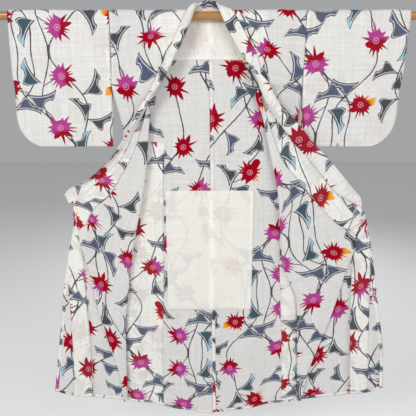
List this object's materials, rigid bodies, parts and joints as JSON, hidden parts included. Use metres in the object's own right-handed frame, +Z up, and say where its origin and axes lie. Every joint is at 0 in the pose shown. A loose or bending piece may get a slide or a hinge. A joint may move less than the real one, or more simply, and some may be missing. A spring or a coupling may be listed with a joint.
{
  "type": "yukata on a hanging rod",
  "caption": "Unlined summer kimono hung by its sleeves on a plain wooden rod, its fronts turned back to show the inside, collar and linings",
  "frame": {"origin": "on the rod's axis, halfway along it, where the rod is held", "axes": "+X along the rod to the viewer's right, +Y away from the viewer, from the fronts to the back, +Z up"},
  "size_m": [1.5, 0.0746, 1.5625],
  "materials": {
    "printed_cotton": "matte plain weave with a crimson, orchid and slate printed pattern",
    "lining_cotton": "matte plain weave",
    "rod_wood": "satin varnish"
  },
  "bodies": {
    "root": {"body_left": "printed_cotton", "body_right": "printed_cotton", "okumi_left": "printed_cotton", "okumi_right": "printed_cotton", "sleeve_left": "printed_cotton", "sleeve_right": "printed_cotton", "collar": "printed_cotton", "over_collar": "printed_cotton", "shoulder_lining": "lining_cotton", "seat_lining": "lining_cotton", "rod": "rod_wood"}
  },
  "joints": []
}
